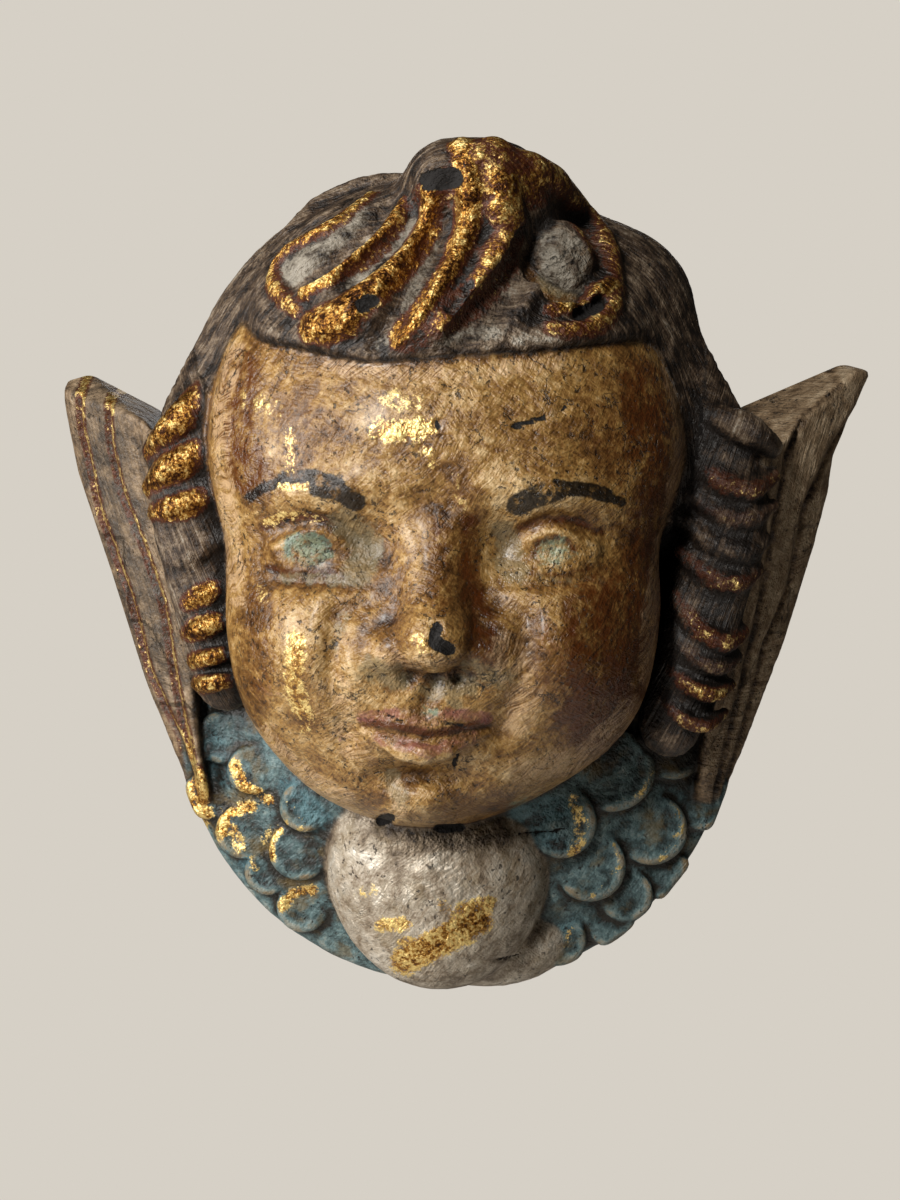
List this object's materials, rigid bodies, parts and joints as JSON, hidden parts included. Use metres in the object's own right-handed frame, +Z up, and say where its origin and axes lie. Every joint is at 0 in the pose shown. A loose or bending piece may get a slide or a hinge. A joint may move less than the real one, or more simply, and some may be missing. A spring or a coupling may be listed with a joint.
{
  "type": "wall ornament",
  "caption": "Painted ceramic head of a winged child for a wall, with curled hair, two short wings, a scaled collar and a flat back.",
  "frame": {"origin": "on the flat back that stands against the wall, straight behind the tip of the nose", "axes": "+X to the right as seen from the front, +Y into the wall, +Z up; the face looks along -Y"},
  "size_m": [0.2, 0.0846, 0.2],
  "materials": {
    "painted_ceramic": "worn painted and gilded ceramic under an aged gloss varnish"
  },
  "bodies": {
    "root": {"cherub_head": "painted_ceramic"}
  },
  "joints": []
}
